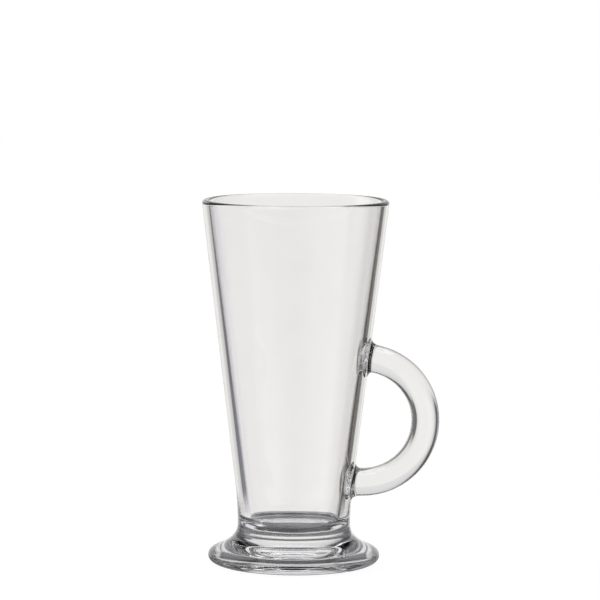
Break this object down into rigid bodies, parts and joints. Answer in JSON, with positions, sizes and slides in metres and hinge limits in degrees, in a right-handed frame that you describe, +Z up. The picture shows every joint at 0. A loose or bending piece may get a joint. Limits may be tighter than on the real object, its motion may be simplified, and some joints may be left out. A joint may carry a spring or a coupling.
{
  "type": "footed glass mug",
  "caption": "Tall conical clear-glass latte mug on a short stem and flared round foot, with a round C handle fused to the bowl's side.",
  "frame": {"origin": "middle of the mug's plan box on the table plane; the bowl's axis is 10.7 mm towards -X from it, because the handle reaches out at +X", "axes": "+Z up along the bowl, +X towards the handle, +Y across the handle"},
  "size_m": [0.0982, 0.0768, 0.15],
  "materials": {
    "clear_glass": "clear colourless soda-lime glass, fire-polished, with a stippled standing ring under the foot"
  },
  "bodies": {
    "root": {"bowl": "clear_glass", "stem": "clear_glass", "foot": "clear_glass", "handle": "clear_glass", "upper_handle_pad": "clear_glass", "lower_handle_pad": "clear_glass"}
  },
  "joints": []
}
